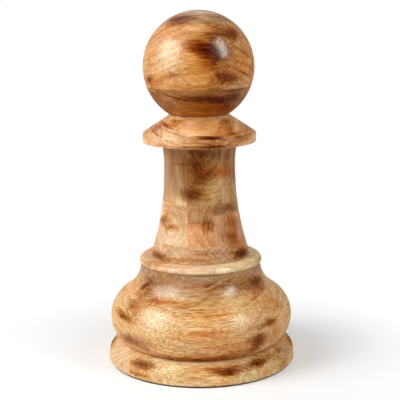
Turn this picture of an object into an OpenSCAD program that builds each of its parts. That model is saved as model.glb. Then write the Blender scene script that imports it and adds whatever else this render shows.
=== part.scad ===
// Turned wooden chess pawn, glued up from boards and blocks.
// Sizes are in millimetres. The pawn stands on the plane z = 0, its turning axis is Z
// and its front faces -Y. Heights run upwards from the table, one layer on the next.

/* [Felt] */
// Thickness of the felt under the foot
felt_t = 1.5; // [1:0.1:4]
// How far the felt stops short of the edge of the foot
felt_inset = 1.5; // [0.5:0.1:10]

/* [Foot] */
// Diameter of the foot
foot_d = 161; // [150:1:190]
// Thickness of the foot boards
foot_t = 17.2; // [14:0.1:30]
// Radius of the quarter round on the top edge of the foot
foot_round = 12; // [4:0.5:13]
// Bevel on the bottom edge of the foot
foot_bevel = 0.8; // [0.2:0.1:1.5]
// Distance from the axis to the glue line on the left of the foot
foot_seam_x = 60.4; // [20:0.1:70]

/* [Belly] */
// Widest diameter of the belly
belly_d = 156.6; // [140:0.1:170]
// Radius of the round side of the belly
belly_round = 26.8; // [23:0.1:30]
// Height of the widest line above the foot
belly_rise = 21.2; // [14:0.1:22]
// Thickness of the belly board
belly_t = 44; // [34:0.5:60]

/* [Shoulder and rim] */
// Thickness of the shoulder board, which carries the cove
shoulder_t = 25.1; // [18:0.1:40]
// Diameter of the rim
rim_d = 105.1; // [98:0.1:116]
// Thickness of the rim boards
rim_t = 5; // [4.8:0.1:10]
// Radius of the rounded top edge of the rim
rim_round = 4.6; // [1:0.1:4.8]
// How far the rim stands out over the cove
rim_over = 1.4; // [0.3:0.1:4]
// Distance from the axis to the glue line on the right of the rim
rim_seam_x = 12; // [0:1:30]

/* [Neck] */
// Height of the neck above the rim
neck_h = 97.6; // [91:0.1:140]
// Diameter of the neck where it stands in the rim
neck_foot_d = 83; // [70:0.1:90]
// Height of the upright part at the bottom of the neck, above the rim
neck_foot_h = 1.5; // [0.5:0.1:8]
// Radius that eases the bottom of the neck into its flare
neck_foot_round = 14; // [4:0.5:24]
// Height of the flare, from the upright part to the waist
flare_h = 71.9; // [40:0.1:78]
// Diameter of the neck at its waist
neck_d = 60.3; // [52:0.1:70]
// Height of the small flare under the collar
neck_head_h = 17; // [4:0.1:24]
// How far the small flare under the collar stands out from the waist
neck_head_out = 2.2; // [0.5:0.1:6]
// Depth that the neck is let into the rim
recess_t = 3; // [1:0.1:4]
// Clearance round the neck in its recess
recess_gap = 0.4; // [0.1:0.05:1]

/* [Neck blocks] */
// Height of the bottom block above the rim
bottom_block_h = 14.2; // [8:0.1:24]
// Height of the lower tier of blocks
lower_tier_h = 33.9; // [26:0.1:42]
// Height of the dark block at the top of the lower tier, in the middle
band_middle_h = 15.1; // [6:0.1:22]
// Height of the dark block at the top of the lower tier, on the right
band_right_h = 8.8; // [4:0.1:22]
// Height of the pale block at the bottom of the upper tier, on the right
pale_block_h = 14.5; // [6:0.1:30]
// Distance from the axis to the glue line on the left of both tiers
left_seam_x = 10.6; // [4:0.1:20]
// Distance from the axis to the glue line on the right of the lower tier
lower_right_seam_x = 11.1; // [4:0.1:20]
// Distance from the axis to the glue line on the right of the upper tier
upper_right_seam_x = 17.8; // [6:0.1:24]

/* [Collar] */
// Diameter of the collar
collar_d = 95.7; // [80:0.1:110]
// Thickness of the collar board
collar_t = 24.2; // [14:0.1:36]
// Height of the upright edge of the collar
collar_edge_h = 8.1; // [3:0.1:12]
// Radius of the rounded edges of the collar
collar_round = 1.5; // [0.3:0.1:2.4]

/* [Head] */
// Diameter of the ball
head_d = 93.4; // [80:0.1:110]
// Diameter of the flat underside that the ball stands on
head_seat_d = 52.3; // [36:0.1:64]
// How far the flat underside stands out over the top of the collar
head_over = 2.8; // [0:0.1:4]
// Thickness of the lower board of the ball
head_lower_t = 23; // [12:0.1:34]
// Thickness of the top board of the ball
head_top_t = 10.7; // [5:0.1:20]

/* [Dowels] */
// Diameter of both dowels
dowel_d = 20; // [12:1:26]
// Glue clearance round a dowel
dowel_gap = 0.1; // [0.05:0.05:0.5]
// Glue room at each end of a dowel
dowel_end_gap = 1.5; // [0.5:0.1:4]
// Length of the base dowel above the foot of the neck
base_dowel_up = 26; // [14:0.5:40]
// Length of the base dowel below the foot of the neck
base_dowel_down = 22; // [12:0.5:40]
// Length of the head dowel in the ball
head_dowel_up = 30; // [16:0.5:44]
// Length of the head dowel in the neck
head_dowel_down = 24; // [12:0.5:40]

/* [Hidden] */
$fn = 240;
// Extra length of a cutting tool past the face that it cuts
over = 1;

// Radius of the flat underside of the ball
head_seat_r = head_seat_d / 2;

// Heights of the layers
foot_top = felt_t + foot_t;
belly_mid = foot_top + belly_rise;
belly_top = foot_top + belly_t;
shoulder_top = belly_top + shoulder_t;
rim_top = shoulder_top + rim_t;
neck_foot = rim_top - recess_t;
flare_z = rim_top + neck_foot_h;
waist_z = flare_z + flare_h;
neck_top = rim_top + neck_h;
collar_top = neck_top + collar_t;

// Belly and cove. The cove leaves the rim upright and runs into the belly with no corner,
// which sets its radius.
belly_c = belly_d / 2 - belly_round;
groove_r = belly_c + sqrt(belly_round * belly_round - belly_rise * belly_rise);
cove_top_r = rim_d / 2 - rim_over;
cove_h = shoulder_top - belly_mid;
cove_in = cove_top_r - belly_c;
cove_round = (cove_in * cove_in + cove_h * cove_h - belly_round * belly_round) / (2 * (belly_round - cove_in));
cove_c = cove_top_r + cove_round;
meet = belly_round / (belly_round + cove_round);
meet_r = belly_c + (cove_c - belly_c) * meet;
meet_z = belly_mid + cove_h * meet;

// Neck. The flare is an arc that is upright at the waist and runs into the eased bottom with no corner.
// The small flare under the collar is an arc that is upright where it starts.
neck_r = neck_d / 2;
neck_foot_r = neck_foot_d / 2;
flare_in = neck_foot_r - neck_r;
flare_round = (flare_h * flare_h + flare_in * flare_in) / (2 * flare_in) - neck_foot_round;
flare_c = neck_r + flare_round;
ease_c = neck_foot_r - neck_foot_round;
ease = neck_foot_round / (neck_foot_round + flare_round);
ease_r = ease_c + (flare_c - ease_c) * ease;
ease_z = flare_z + flare_h * ease;
neck_head_z = neck_top - neck_head_h;
neck_head_round = (neck_head_h * neck_head_h + neck_head_out * neck_head_out) / (2 * neck_head_out);
lower_tier = rim_top + bottom_block_h;
upper_tier = lower_tier + lower_tier_h;

// Rim. Its rounded edge is never larger than the wall that it is cut on.
recess_r = neck_foot_r + recess_gap;
rim_edge_r = min(rim_round, rim_t);

// Collar. The upper round touches the upright edge and the cone.
collar_r = collar_d / 2;
collar_edge_z = neck_top + collar_edge_h;
cone_top_r = head_seat_r - head_over;
cone_a = atan2(collar_r - cone_top_r, collar_top - collar_edge_z);
collar_edge_r = min(collar_round, collar_edge_h / 2);
collar_round_z = collar_edge_z - collar_edge_r * (1 - cos(cone_a)) / sin(cone_a);

// Ball
head_r = head_d / 2;
head_mid = collar_top + sqrt(head_r * head_r - head_seat_r * head_seat_r);
head_lower_top = collar_top + head_lower_t;
head_middle_top = head_mid + head_r - head_top_t;

// Dowels
dowel_r = dowel_d / 2;
base_dowel_z = neck_foot - base_dowel_down;
base_dowel_l = base_dowel_down + base_dowel_up;
head_dowel_z = neck_top - head_dowel_down;
head_dowel_l = head_dowel_down + collar_t + head_dowel_up;

// A box as wide as the pawn between two x planes and two heights, to cut one board out of a turned form
module board(x0, x1, z0, z1) {
    translate([x0, -foot_d, z0])
        cube([x1 - x0, 2 * foot_d, z1 - z0]);
}

// All of the width between two heights
module layer(z0, z1) {
    board(-foot_d, foot_d, z0, z1);
}

// Holes for the dowels, with their clearance
module base_bore() {
    translate([0, 0, base_dowel_z - dowel_end_gap])
        cylinder(h = base_dowel_l + 2 * dowel_end_gap, r = dowel_r + dowel_gap);
}

module head_bore() {
    translate([0, 0, head_dowel_z - dowel_end_gap])
        cylinder(h = head_dowel_l + 2 * dowel_end_gap, r = dowel_r + dowel_gap);
}

// Quarter disc that rounds an outer edge, on the upper side or on the lower side of its centre
module quarter(x, z, r, lower = false) {
    intersection() {
        translate([x, z])
            circle(r = r);
        translate([x, lower ? z - r : z])
            square(r);
    }
}

// Outline of the foot, from the axis outwards
module foot_outline() {
    union() {
        polygon([
            [0, felt_t],
            [foot_d / 2 - foot_bevel, felt_t],
            [foot_d / 2, felt_t + foot_bevel],
            [foot_d / 2, foot_top - foot_round],
            [foot_d / 2 - foot_round, foot_top - foot_round],
            [foot_d / 2 - foot_round, foot_top],
            [0, foot_top]
        ]);
        quarter(foot_d / 2 - foot_round, foot_top - foot_round, foot_round);
    }
}

// Outline of the belly and the cove above it
module body_outline() {
    union() {
        difference() {
            polygon([
                [0, foot_top],
                [groove_r, foot_top],
                [belly_c, belly_mid],
                [meet_r, meet_z],
                [cove_top_r, shoulder_top],
                [0, shoulder_top]
            ]);
            translate([cove_c, shoulder_top])
                circle(r = cove_round);
        }
        intersection() {
            translate([belly_c, belly_mid])
                circle(r = belly_round);
            translate([0, foot_top])
                square([belly_d, belly_mid + belly_round]);
        }
    }
}

// Outline of the rim, with the recess that the neck stands in
module rim_outline() {
    union() {
        polygon([
            [0, shoulder_top],
            [rim_d / 2, shoulder_top],
            [rim_d / 2, rim_top - rim_edge_r],
            [rim_d / 2 - rim_edge_r, rim_top - rim_edge_r],
            [rim_d / 2 - rim_edge_r, rim_top],
            [recess_r, rim_top],
            [recess_r, neck_foot],
            [0, neck_foot]
        ]);
        quarter(rim_d / 2 - rim_edge_r, rim_top - rim_edge_r, rim_edge_r);
    }
}

// Outline of the whole neck
module neck_outline() {
    union() {
        difference() {
            polygon([
                [0, neck_foot],
                [neck_foot_r, neck_foot],
                [neck_foot_r, flare_z],
                [ease_c, flare_z],
                [ease_r, ease_z],
                [neck_r, waist_z],
                [neck_r, neck_head_z],
                [neck_r + neck_head_out, neck_top],
                [0, neck_top]
            ]);
            intersection() {
                translate([flare_c, waist_z])
                    circle(r = flare_round);
                translate([0, ease_z])
                    square([foot_d, waist_z - ease_z]);
            }
            intersection() {
                translate([neck_r + neck_head_round, neck_head_z])
                    circle(r = neck_head_round);
                translate([0, neck_head_z])
                    square([foot_d, neck_head_h]);
            }
        }
        quarter(ease_c, flare_z, neck_foot_round);
    }
}

// Outline of the collar
module collar_outline() {
    union() {
        polygon([
            [0, neck_top],
            [collar_r - collar_edge_r, neck_top],
            [collar_r - collar_edge_r, neck_top + collar_edge_r],
            [collar_r, neck_top + collar_edge_r],
            [collar_r, collar_round_z],
            [collar_r - collar_edge_r, collar_round_z],
            [collar_r - collar_edge_r * (1 - cos(cone_a)), collar_round_z + collar_edge_r * sin(cone_a)],
            [cone_top_r, collar_top],
            [0, collar_top]
        ]);
        quarter(collar_r - collar_edge_r, neck_top + collar_edge_r, collar_edge_r, lower = true);
        quarter(collar_r - collar_edge_r, collar_round_z, collar_edge_r);
    }
}

// One block of the turned neck, between two x planes and two heights
module neck_block(x0, x1, z0, z1) {
    difference() {
        intersection() {
            rotate_extrude()
                neck_outline();
            board(x0, x1, z0, z1);
        }
        base_bore();
        head_bore();
    }
}

// One board of the ball, between two heights
module head_board(z0, z1) {
    difference() {
        intersection() {
            translate([0, 0, head_mid])
                sphere(r = head_r);
            layer(z0, z1);
        }
        head_bore();
    }
}

// Felt under the foot
module felt_pad() {
    color("#1d1a17")
        cylinder(h = felt_t, r = foot_d / 2 - felt_inset);
}

// Narrow board on the left of the foot
module foot_left_board() {
    color("#dcb27c")
        intersection() {
            rotate_extrude()
                foot_outline();
            board(-foot_d, -foot_seam_x, -over, foot_top + over);
        }
}

// Wide board of the foot
module foot_right_board() {
    color("#d6a76c")
        intersection() {
            rotate_extrude()
                foot_outline();
            board(-foot_seam_x, foot_d, -over, foot_top + over);
        }
}

// Thick board that carries the round of the belly
module belly() {
    color("#d49a5c")
        difference() {
            intersection() {
                rotate_extrude()
                    body_outline();
                layer(felt_t, belly_top);
            }
            base_bore();
        }
}

// Board above the belly, hollowed by the cove
module shoulder() {
    color("#b98a5c")
        difference() {
            intersection() {
                rotate_extrude()
                    body_outline();
                layer(belly_top, shoulder_top + over);
            }
            base_bore();
        }
}

// Left board of the rim
module rim_left() {
    color("#e2b983")
        difference() {
            intersection() {
                rotate_extrude()
                    rim_outline();
                board(-foot_d, rim_seam_x, shoulder_top - over, rim_top + over);
            }
            base_bore();
        }
}

// Right board of the rim
module rim_right() {
    color("#e5bf8a")
        difference() {
            intersection() {
                rotate_extrude()
                    rim_outline();
                board(rim_seam_x, foot_d, shoulder_top - over, rim_top + over);
            }
            base_bore();
        }
}

// Speckled block at the bottom of the neck
module neck_bottom() {
    color("#c9a173")
        neck_block(-foot_d, foot_d, neck_foot - over, lower_tier);
}

// Cream block on the left of the lower tier
module neck_lower_left() {
    color("#e3bd88")
        neck_block(-foot_d, -left_seam_x, lower_tier, upper_tier);
}

// Orange block in the middle of the lower tier
module neck_lower_middle() {
    color("#dd9960")
        neck_block(-left_seam_x, lower_right_seam_x, lower_tier, upper_tier - band_middle_h);
}

// Pinkish block on the right of the lower tier
module neck_lower_right() {
    color("#b9805a")
        neck_block(lower_right_seam_x, foot_d, lower_tier, upper_tier - band_right_h);
}

// Grey-brown block over the orange one
module neck_band_middle() {
    color("#a98660")
        neck_block(-left_seam_x, lower_right_seam_x, upper_tier - band_middle_h, upper_tier);
}

// Dark block over the pinkish one
module neck_band_right() {
    color("#7d6048")
        neck_block(lower_right_seam_x, foot_d, upper_tier - band_right_h, upper_tier);
}

// Tall pinkish-brown block on the left of the upper tier
module neck_upper_left() {
    color("#b58d6d")
        neck_block(-foot_d, -left_seam_x, upper_tier, neck_top + over);
}

// Tall figured block in the middle of the upper tier
module neck_upper_middle() {
    color("#a57c48")
        neck_block(-left_seam_x, upper_right_seam_x, upper_tier, neck_top + over);
}

// Pale block on the right of the upper tier
module neck_upper_right_low() {
    color("#b99a6c")
        neck_block(upper_right_seam_x, foot_d, upper_tier, upper_tier + pale_block_h);
}

// Striped block on the right of the upper tier
module neck_upper_right_top() {
    color("#a8744a")
        neck_block(upper_right_seam_x, foot_d, upper_tier + pale_block_h, neck_top + over);
}

// Collar, an upright edge under a cone
module collar() {
    color("#d9a56a")
        difference() {
            rotate_extrude()
                collar_outline();
            head_bore();
        }
}

// Brown lower board of the ball, with its flat underside
module head_lower() {
    color("#8e5d33")
        head_board(collar_top, head_lower_top);
}

// Thick golden board of the ball
module head_middle() {
    color("#cf9653")
        head_board(head_lower_top, head_middle_top);
}

// Brown cap of the ball
module head_top() {
    color("#8d6440")
        head_board(head_middle_top, head_mid + head_r + over);
}

// Dowel between the base and the neck
module base_dowel() {
    color("#d8bd92")
        translate([0, 0, base_dowel_z])
            cylinder(h = base_dowel_l, r = dowel_r);
}

// Dowel through the collar, between the neck and the ball
module head_dowel() {
    color("#d8bd92")
        translate([0, 0, head_dowel_z])
            cylinder(h = head_dowel_l, r = dowel_r);
}

felt_pad();
foot_left_board();
foot_right_board();
belly();
shoulder();
rim_left();
rim_right();
neck_bottom();
neck_lower_left();
neck_lower_middle();
neck_lower_right();
neck_band_middle();
neck_band_right();
neck_upper_left();
neck_upper_middle();
neck_upper_right_low();
neck_upper_right_top();
collar();
head_lower();
head_middle();
head_top();
base_dowel();
head_dowel();
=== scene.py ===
# %% [markdown]
# # A turned wooden chess pawn
# This lesson dresses a chess pawn that is glued up from boards and blocks of mango wood, turned on a lathe,
# singed in patches and lacquered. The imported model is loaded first. It is the fixed frame: every board that
# is modelled here takes its place from the model, so nothing has to be fitted by eye.

# %% Load the frame
from math import asin, atan2, cos, degrees, hypot, pi, radians, sin

import bpy
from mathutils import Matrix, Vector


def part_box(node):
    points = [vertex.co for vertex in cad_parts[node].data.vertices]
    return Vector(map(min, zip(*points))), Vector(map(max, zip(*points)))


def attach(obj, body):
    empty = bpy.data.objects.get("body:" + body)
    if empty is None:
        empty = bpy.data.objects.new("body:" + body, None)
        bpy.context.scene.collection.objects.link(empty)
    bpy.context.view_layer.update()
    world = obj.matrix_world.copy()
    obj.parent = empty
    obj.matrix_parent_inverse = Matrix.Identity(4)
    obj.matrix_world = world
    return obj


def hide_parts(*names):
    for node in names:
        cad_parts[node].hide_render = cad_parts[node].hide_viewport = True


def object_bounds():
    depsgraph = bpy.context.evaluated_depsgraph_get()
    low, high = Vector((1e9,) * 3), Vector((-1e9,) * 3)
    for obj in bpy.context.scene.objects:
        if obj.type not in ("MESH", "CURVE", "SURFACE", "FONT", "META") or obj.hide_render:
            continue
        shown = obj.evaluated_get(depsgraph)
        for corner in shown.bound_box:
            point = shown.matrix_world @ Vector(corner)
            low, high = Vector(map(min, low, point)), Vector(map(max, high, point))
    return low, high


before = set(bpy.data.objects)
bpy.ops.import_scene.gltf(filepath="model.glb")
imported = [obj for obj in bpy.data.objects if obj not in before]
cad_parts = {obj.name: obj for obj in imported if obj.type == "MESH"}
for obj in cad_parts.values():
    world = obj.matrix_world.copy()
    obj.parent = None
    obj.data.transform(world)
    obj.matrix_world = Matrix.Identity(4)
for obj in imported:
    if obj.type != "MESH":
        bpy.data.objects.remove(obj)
cad_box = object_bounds()
scene = bpy.context.scene
scene.view_settings.view_transform = "Standard"
mm = 0.001
print("loaded", len(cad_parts), "boards, blocks and dowels")

# %% [markdown]
# ## The camera
# The pawn is seen from a little above, through a long lens, as a small product is photographed. A long lens
# keeps the ball and the foot in proportion. The camera stands in front, looks down by its pitch, and rolls
# by less than a degree, because it was held almost level.

# %% Camera
camera_back = 0.8851
camera_height = 0.3185
camera_pitch = 11.43
camera_roll = -0.609
camera_lens = 94.88
sensor_width = 36

camera_data = bpy.data.cameras.new("camera")
camera_data.lens = camera_lens
camera_data.sensor_width = sensor_width
camera = bpy.data.objects.new("camera", camera_data)
camera.rotation_mode = "ZYX"
camera.location = (0, -camera_back, camera_height)
camera.rotation_euler = (radians(90 - camera_pitch), 0, radians(camera_roll))
scene.collection.objects.link(camera)
scene.camera = camera
print("camera", round(camera_back, 3), "m in front, lens", camera_lens, "mm")

# %% [markdown]
# ## The studio
# Two soft boxes light the wood, one on each side of the camera. Beside each stands a gleam, a bright lamp
# that only the lacquer mirrors: it adds no light to the wood. A photographer sets the same balance with a
# filter on the lens. The right gleam is narrow and leaves a clear patch on the ball, and the left one is
# wide and soft.

# %% Lamps
lamp_distance = 1.5
gleam_colour = (0.96, 1, 0.88)
middle_height = (cad_box[0].z + cad_box[1].z) / 2


def soft_box(name, degrees_round, degrees_up, width, height, power):
    """A soft box that faces the middle of the pawn, by its degrees round to the right and above level."""
    a, e = radians(degrees_round), radians(degrees_up)
    data = bpy.data.lights.new(name, "AREA")
    data.shape = "RECTANGLE"
    data.size = width
    data.size_y = height
    data.energy = power
    lamp = bpy.data.objects.new(name, data)
    lamp.location = (
        lamp_distance * sin(a) * cos(e),
        -lamp_distance * cos(a) * cos(e),
        middle_height + lamp_distance * sin(e),
    )
    lamp.rotation_euler = (radians(90 - degrees_up), 0, a)
    scene.collection.objects.link(lamp)
    return lamp


soft_box("right soft box", 54, 33, 0.5, 0.8, 7)
soft_box("left soft box", -66, 34, 1.0, 1.1, 19)
right_gleam = soft_box("right gleam", 59, 38, 0.36, 0.8, 75)
left_gleam = soft_box("left gleam", -71, 34, 1.2, 0.8, 135)
for gleam in (right_gleam, left_gleam):
    gleam.visible_diffuse = False
    gleam.data.color = gleam_colour

# %% [markdown]
# ## Writing materials
# A material is a tree of nodes, and so is the light of a room. Placing a node, setting its options and
# linking its inputs takes several lines, so a few small helpers do it in one.

# %% Node helpers
def plug(tree, socket, value):
    """Links another node's socket, or sets a plain value."""
    if isinstance(value, bpy.types.NodeSocket):
        tree.links.new(value, socket)
    else:
        socket.default_value = value


def add(tree, kind, plugs=None, **options):
    """Adds a shader node, sets its options and plugs its inputs."""
    made = tree.nodes.new("ShaderNode" + kind)
    for option, value in options.items():
        setattr(made, option, value)
    for name, value in (plugs or {}).items():
        plug(tree, made.inputs[name], value)
    return made


def calc(tree, operation, *values):
    """One step of arithmetic."""
    return add(tree, "Math", dict(enumerate(values)), operation=operation).outputs[0]


def span(tree, value, low, high, to_low=0.0, to_high=1.0, kind="LINEAR"):
    """Maps a value from one range to another, without leaving it."""
    plugs = {"Value": value, "From Min": low, "From Max": high, "To Min": to_low, "To Max": to_high}
    return add(tree, "MapRange", plugs, interpolation_type=kind).outputs[0]


# %% [markdown]
# ## The white room
# The camera sees the room as pure white. As a light it is dimmer, so that it only fills the shadows. In the
# lacquer's reflections it is dark in front, where the photographer stands, and grows white towards the
# back.

# %% White room
room_light = 0.3
room_front = 0.12
darkest_at = -0.4
white_at = 0.5

world = bpy.data.worlds.new("white room")
scene.world = world
world.use_nodes = True
room = world.node_tree
path = add(room, "LightPath").outputs
direction = add(room, "SeparateXYZ", {0: add(room, "TexCoord").outputs["Generated"]}).outputs
mirrored = span(room, direction["Y"], darkest_at, white_at, room_front, kind="SMOOTHSTEP")
glossy = add(room, "Mix", {"Factor": path["Is Glossy Ray"], "A": room_light, "B": mirrored}).outputs[0]
background = room.nodes["Background"]
background.inputs["Color"].default_value = (1, 1, 1, 1)
plug(room, background.inputs["Strength"], calc(room, "MAXIMUM", path["Is Camera Ray"], glossy))
print("room light", room_light)

# %% [markdown]
# ## The white table
# A wide white sheet. It is painted with plain white and lifted a little for the camera, so that only the
# pawn's own shadow shows. Further out it fades into the white of the room, and no edge is seen.

# %% White table
table_size = 12
table_white = (0.86, 0.86, 0.86, 1)
table_lift = 0.22
shadow_near = 0.09
shadow_far = 0.22

bpy.ops.object.select_all(action="DESELECT")
bpy.ops.mesh.primitive_plane_add(size=table_size, location=(0, 0, 0))
table = bpy.context.object
table.name = "table"
white = bpy.data.materials.new("white table")
white.use_nodes = True
tree = white.node_tree
tree.nodes.remove(tree.nodes["Principled BSDF"])
path = add(tree, "LightPath").outputs
paint = add(tree, "BsdfDiffuse", {"Color": table_white}).outputs[0]
lift = calc(tree, "MULTIPLY", path["Is Camera Ray"], table_lift)
glow = add(tree, "Emission", {"Strength": lift}).outputs[0]
near_white = add(tree, "AddShader", {0: paint, 1: glow}).outputs[0]
far_white = add(tree, "Emission").outputs[0]
where = add(tree, "TexCoord").outputs["Object"]
away = add(tree, "VectorMath", {0: where}, operation="LENGTH").outputs["Value"]
far = span(tree, away, shadow_near, shadow_far, kind="SMOOTHSTEP")
seen = calc(tree, "MAXIMUM", path["Is Camera Ray"], path["Is Glossy Ray"])
fading = calc(tree, "MULTIPLY", far, seen)
cover = add(tree, "MixShader", {"Fac": fading, 1: near_white, 2: far_white}).outputs[0]
plug(tree, tree.nodes["Material Output"].inputs["Surface"], cover)
table.data.materials.append(white)
print("table", table_size, "m across")

# %% [markdown]
# ## How a turned form is drawn
# On the lathe a chisel follows half of the outline while the wood turns. In Blender the half outline is
# drawn as a chain of edges, extruded point by point from one vertex, and the Spin tool turns it round Z.
# Round stretches are arcs, worked out from a centre and a radius. The seam and the poles are merged
# afterwards.

# %% Outline and lathe
lathe_steps = 240
arc_step = 4.0
shortest_edge = 1e-7
weld = 0.005 * mm


def arc(centre, radius, start, end):
    """Points of an arc, between two angles in degrees, where outwards is 0 and upwards 90."""
    steps = max(3, round(abs(end - start) / arc_step))
    angles = [radians(start + (end - start) * i / steps) for i in range(steps + 1)]
    return [(centre[0] + radius * cos(a), centre[1] + radius * sin(a)) for a in angles]


def turn(name, outline):
    """Draws the outline, a list of (radius, height) points, and turns it into a closed form."""
    bpy.ops.object.select_all(action="DESELECT")
    bpy.ops.mesh.primitive_plane_add(size=mm, location=(0, 0, 0))
    form = bpy.context.object
    form.name = name
    bpy.ops.object.mode_set(mode="EDIT")
    bpy.ops.mesh.merge(type="CENTER")
    bpy.ops.transform.translate(value=(outline[0][0], 0, outline[0][1]))
    for (r0, z0), (r1, z1) in zip(outline[:-1], outline[1:]):
        if hypot(r1 - r0, z1 - z0) > shortest_edge:
            bpy.ops.mesh.extrude_region_move(TRANSFORM_OT_translate={"value": (r1 - r0, 0, z1 - z0)})
    bpy.ops.mesh.select_all(action="SELECT")
    bpy.ops.mesh.spin(steps=lathe_steps, angle=2 * pi, center=(0, 0, 0), axis=(0, 0, 1))
    bpy.ops.mesh.select_all(action="SELECT")
    bpy.ops.mesh.remove_doubles(threshold=weld)
    bpy.ops.mesh.normals_make_consistent(inside=False)
    bpy.ops.object.mode_set(mode="OBJECT")
    return form


# %% [markdown]
# ## How a board is cut out
# The real pawn is glued up first and turned afterwards, so every glue line is a flat cut through a turned
# form. A copy of the form is cut with Bisect, which also closes the cut with a face. Edges that meet at a
# sharp angle stay sharp, and weighted normals keep the broad flat faces flat.

# %% Saw
smooth_below = 32
pieces = {}


def saw(form, name, left=None, right=None, bottom=None, top=None):
    """Copies a turned form, saws it at the planes that are given and keeps what lies between them."""
    bpy.ops.object.select_all(action="DESELECT")
    form.select_set(True)
    bpy.context.view_layer.objects.active = form
    bpy.ops.object.duplicate()
    piece = bpy.context.object
    piece.name = name
    bpy.ops.object.mode_set(mode="EDIT")
    cuts = [(left, (-1, 0, 0)), (right, (1, 0, 0)), (bottom, (0, 0, -1)), (top, (0, 0, 1))]
    for place, away in cuts:
        if place is not None:
            point = tuple(abs(axis) * place for axis in away)
            bpy.ops.mesh.select_all(action="SELECT")
            bpy.ops.mesh.bisect(plane_co=point, plane_no=away, use_fill=True, clear_outer=True)
    bpy.ops.mesh.select_all(action="SELECT")
    bpy.ops.mesh.remove_doubles(threshold=weld)
    bpy.ops.mesh.normals_make_consistent(inside=False)
    bpy.ops.object.mode_set(mode="OBJECT")
    bpy.ops.object.shade_smooth_by_angle(angle=radians(smooth_below))
    bpy.ops.object.modifier_add(type="WEIGHTED_NORMAL")
    piece.modifiers[-1].keep_sharp = True
    bpy.ops.object.modifier_apply(modifier=piece.modifiers[-1].name)
    return piece


def dress(node, slot, form, name="", **cuts):
    """Saws a piece to take the place of a node of the model. Its slot is not used."""
    piece = saw(form, name or node + "_turned", **cuts)
    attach(piece, "root")
    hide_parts(node)
    pieces[node] = piece
    print(piece.name, len(piece.data.polygons), "faces")


def scrap(form):
    """Removes a turned form once its boards are sawn out of it."""
    bpy.data.objects.remove(form)


# %% [markdown]
# ## The foot
# A flat disc with a quarter round on its top edge, turned from two boards that are glued side by side. The
# glue line is far out on the left. A felt disc under it keeps the table from scratches.

# %% Foot
foot_round = 12 * mm
foot_bevel = 0.8 * mm
foot_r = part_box("foot_right_board")[1].x
foot_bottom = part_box("foot_right_board")[0].z
foot_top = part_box("foot_right_board")[1].z
foot_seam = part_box("foot_left_board")[1].x

foot = turn("foot", [
    (0, foot_bottom),
    (foot_r - foot_bevel, foot_bottom),
    (foot_r, foot_bottom + foot_bevel),
    *arc((foot_r - foot_round, foot_top - foot_round), foot_round, 0, 90),
    (0, foot_top),
])
dress("foot_left_board", "cream_wood", foot, "foot_left_turned", right=foot_seam)
dress("foot_right_board", "cream_wood", foot, "foot_right_turned", left=foot_seam)
scrap(foot)

# %% [markdown]
# ## The felt
# A thin dark disc, glued under the foot and trimmed by hand. Its edge is a little rounded where the shears
# have pressed it.

# %% Felt
felt_edge = 0.35 * mm
felt_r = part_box("felt_pad")[1].x
felt_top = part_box("felt_pad")[1].z
felt = turn("felt", [
    (0, 0),
    *arc((felt_r - felt_edge, felt_edge), felt_edge, -90, 0),
    *arc((felt_r - felt_edge, felt_top - felt_edge), felt_edge, 0, 90),
    (0, felt_top),
])
dress("felt_pad", "felt", felt, "felt_disc")
scrap(felt)

# %% [markdown]
# ## The belly and the shoulder
# Two boards lie on the foot. The belly is a full round, and the shoulder above it is hollowed by a cove
# that leaves the rim upright and runs into the belly with no corner. Two arcs that touch have their centres
# in one line with the point where they meet, and that gives the radius of the cove.

# %% Body outline
belly_round = 26.8 * mm
belly_rise = 21.2 * mm
rim_over = 1.4 * mm
dowel_gap = 0.1 * mm
dowel_end_gap = 1.5 * mm
bore_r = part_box("base_dowel")[1].x + dowel_gap
base_bore_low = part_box("base_dowel")[0].z - dowel_end_gap
base_bore_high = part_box("base_dowel")[1].z + dowel_end_gap
head_bore_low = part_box("head_dowel")[0].z - dowel_end_gap
head_bore_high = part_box("head_dowel")[1].z + dowel_end_gap

belly_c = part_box("belly")[1].x - belly_round
belly_mid = foot_top + belly_rise
belly_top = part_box("belly")[1].z
shoulder_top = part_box("shoulder")[1].z
rim_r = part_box("rim_right")[1].x
cove_top_r = rim_r - rim_over
cove_h = shoulder_top - belly_mid
cove_in = cove_top_r - belly_c
cove_round = (cove_in ** 2 + cove_h ** 2 - belly_round ** 2) / (2 * (belly_round - cove_in))
cove_c = cove_top_r + cove_round
meet = degrees(atan2(cove_h, cove_c - belly_c))
groove = -degrees(asin(belly_rise / belly_round))
print("cove radius", round(cove_round / mm, 1), "mm")

# %% Body
body = turn("body", [
    (0, foot_top),
    *arc((belly_c, belly_mid), belly_round, groove, meet),
    *arc((cove_c, shoulder_top), cove_round, 180 + meet, 180),
    (bore_r, shoulder_top),
    (bore_r, base_bore_low),
    (0, base_bore_low),
])
dress("belly", "golden_wood", body, top=belly_top)
dress("shoulder", "grey_brown_wood", body, bottom=belly_top)
scrap(body)

# %% [markdown]
# ## The rim
# A thin pale ring on the shoulder, from two boards. Its top edge is rounded, and the neck stands in a
# shallow recess in its middle.

# %% Rim
rim_round = 4.6 * mm
recess_gap = 0.4 * mm
rim_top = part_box("rim_right")[1].z
rim_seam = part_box("rim_left")[1].x
neck_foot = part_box("neck_bottom")[0].z
neck_foot_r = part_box("neck_bottom")[1].x
recess_r = neck_foot_r + recess_gap

rim = turn("rim", [
    (bore_r, shoulder_top),
    (rim_r, shoulder_top),
    *arc((rim_r - rim_round, rim_top - rim_round), rim_round, 0, 90),
    (recess_r, rim_top),
    (recess_r, neck_foot),
    (bore_r, neck_foot),
    (bore_r, shoulder_top),
])
dress("rim_left", "cream_wood", rim, right=rim_seam)
dress("rim_right", "cream_wood", rim, left=rim_seam)
scrap(rim)

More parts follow.
